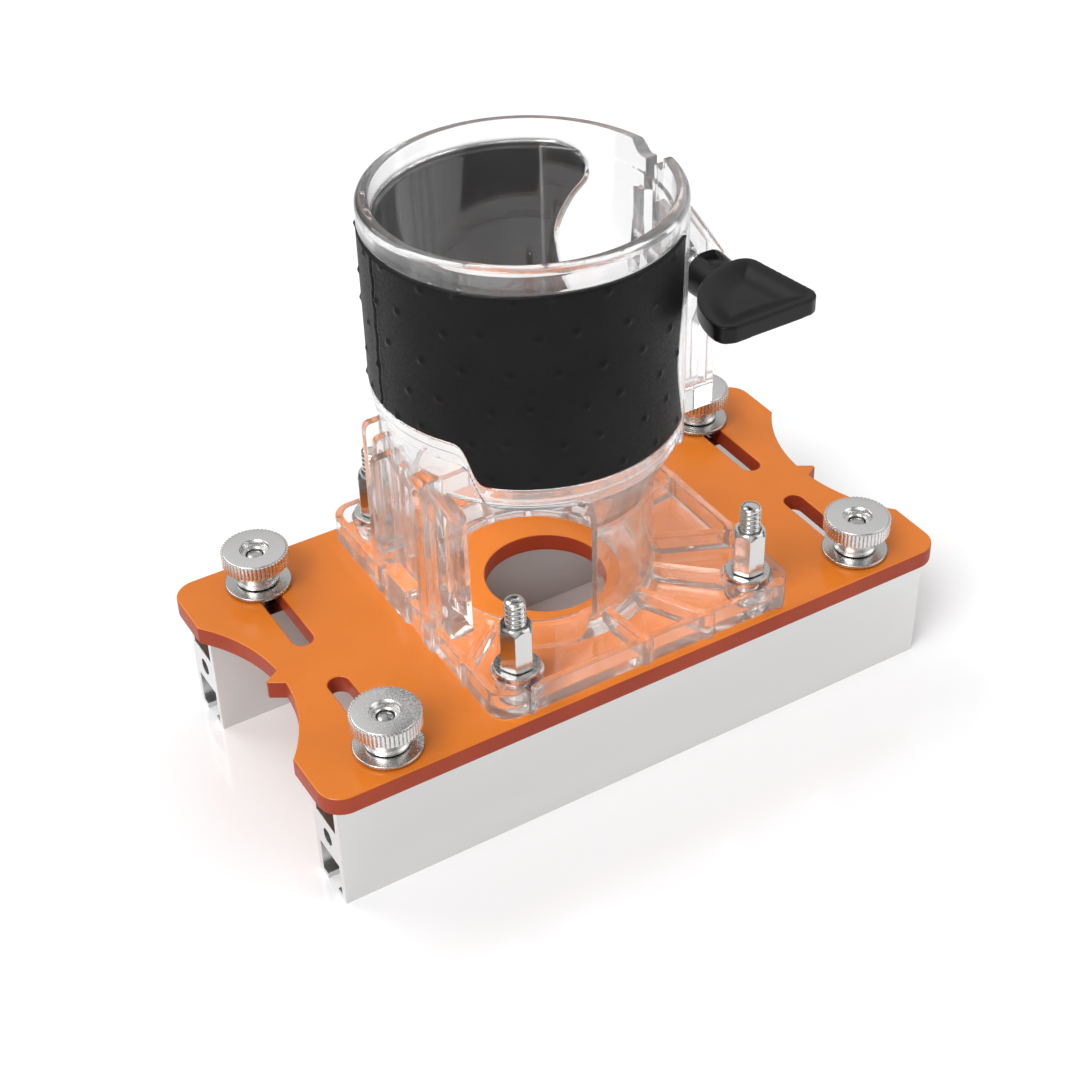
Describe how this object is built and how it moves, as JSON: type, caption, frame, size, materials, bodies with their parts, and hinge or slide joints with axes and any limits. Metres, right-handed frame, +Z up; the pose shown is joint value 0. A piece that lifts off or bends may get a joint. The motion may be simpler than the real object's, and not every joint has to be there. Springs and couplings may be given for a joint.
{
  "type": "router slotting bracket",
  "caption": "Slotting bracket for a trimmer router: clear split collar with a lever clamp on an orange plate, over slotted rails that slide to the width of a board.",
  "frame": {"origin": "middle of the plate in plan, at the feet of the rails", "axes": "+X along the rails towards the clamp, +Y across the rails to the back, +Z up along the collar"},
  "size_m": [0.17, 0.088, 0.1403],
  "materials": {
    "bakelite": "satin orange bakelite with red-brown sawn edges",
    "rail_aluminium": "satin extruded",
    "zinc_steel": "bright zinc",
    "bright_steel": "polished nickel",
    "clear_plastic": "clear polished",
    "grip_rubber": "soft satin with scattered pimples",
    "lever_plastic": "fine moulded matt",
    "dark_steel": "black oxide"
  },
  "bodies": {
    "bracket": {"base_plate": "bakelite", "router_base": "clear_plastic", "grip_sleeve": "grip_rubber", "clamp_nut": "dark_steel", "standoff_screw_front_left": "zinc_steel", "standoff_screw_front_right": "zinc_steel", "standoff_screw_back_left": "zinc_steel", "standoff_screw_back_right": "zinc_steel", "standoff_washer_front_left": "bright_steel", "standoff_washer_front_right": "bright_steel", "standoff_washer_back_left": "bright_steel", "standoff_washer_back_right": "bright_steel", "standoff_nut_front_left": "bright_steel", "standoff_nut_front_right": "bright_steel", "standoff_nut_back_left": "bright_steel", "standoff_nut_back_right": "bright_steel"},
    "front_bolts": {"t_bolt_front_left": "zinc_steel", "t_bolt_front_right": "zinc_steel"},
    "back_bolts": {"t_bolt_back_left": "zinc_steel", "t_bolt_back_right": "zinc_steel"},
    "front_rail": {"rail_front": "rail_aluminium"},
    "back_rail": {"rail_back": "rail_aluminium"},
    "washer_front_left": {"slot_washer_front_left": "bright_steel"},
    "washer_front_right": {"slot_washer_front_right": "bright_steel"},
    "washer_back_left": {"slot_washer_back_left": "bright_steel"},
    "washer_back_right": {"slot_washer_back_right": "bright_steel"},
    "nut_front_left": {"thumb_nut_front_left": "bright_steel"},
    "nut_front_right": {"thumb_nut_front_right": "bright_steel"},
    "nut_back_left": {"thumb_nut_back_left": "bright_steel"},
    "nut_back_right": {"thumb_nut_back_right": "bright_steel"},
    "lever": {"clamp_lever": "lever_plastic", "clamp_screw": "dark_steel"}
  },
  "joints": [
    {"name": "front_bolts_slide", "type": "slide", "parent": "bracket", "child": "front_bolts", "axis": [0, 1, 0], "range_m": [-0.0015, 0.022]},
    {"name": "back_bolts_slide", "type": "slide", "parent": "bracket", "child": "back_bolts", "axis": [0, -1, 0], "range_m": [-0.0015, 0.022]},
    {"name": "front_rail_shift", "type": "slide", "parent": "front_bolts", "child": "front_rail", "axis": [1, 0, 0], "range_m": [-0.01, 0.01]},
    {"name": "back_rail_shift", "type": "slide", "parent": "back_bolts", "child": "back_rail", "axis": [1, 0, 0], "range_m": [-0.01, 0.01]},
    {"name": "lift_front_left", "type": "slide", "parent": "front_bolts", "child": "washer_front_left", "axis": [0, 0, 1], "range_m": [0, 0.0022]},
    {"name": "lift_front_right", "type": "slide", "parent": "front_bolts", "child": "washer_front_right", "axis": [0, 0, 1], "range_m": [0, 0.0022]},
    {"name": "lift_back_left", "type": "slide", "parent": "back_bolts", "child": "washer_back_left", "axis": [0, 0, 1], "range_m": [0, 0.0022]},
    {"name": "lift_back_right", "type": "slide", "parent": "back_bolts", "child": "washer_back_right", "axis": [0, 0, 1], "range_m": [0, 0.0022]},
    {"name": "spin_front_left", "type": "hinge", "parent": "washer_front_left", "child": "nut_front_left", "pos_m": [-0.0653, -0.0342, 0.04], "axis": [0, 0, 1], "range_deg": [0, 1080]},
    {"name": "spin_front_right", "type": "hinge", "parent": "washer_front_right", "child": "nut_front_right", "pos_m": [0.0653, -0.0342, 0.04], "axis": [0, 0, 1], "range_deg": [0, 1080]},
    {"name": "spin_back_left", "type": "hinge", "parent": "washer_back_left", "child": "nut_back_left", "pos_m": [-0.0653, 0.0342, 0.04], "axis": [0, 0, 1], "range_deg": [0, 1080]},
    {"name": "spin_back_right", "type": "hinge", "parent": "washer_back_right", "child": "nut_back_right", "pos_m": [0.0653, 0.0342, 0.04], "axis": [0, 0, 1], "range_deg": [0, 1080]},
    {"name": "clamp_lever_turn", "type": "hinge", "parent": "bracket", "child": "lever", "pos_m": [0.037, -0.01, 0.1098], "axis": [0, -1, 0], "range_deg": [-45, 90]}
  ],
  "couplings": [
    {"joint": "lift_front_left", "follows": "spin_front_left", "m_per_rad": 0.00011141},
    {"joint": "lift_front_right", "follows": "spin_front_right", "m_per_rad": 0.00011141},
    {"joint": "lift_back_left", "follows": "spin_back_left", "m_per_rad": 0.00011141},
    {"joint": "lift_back_right", "follows": "spin_back_right", "m_per_rad": 0.00011141}
  ]
}
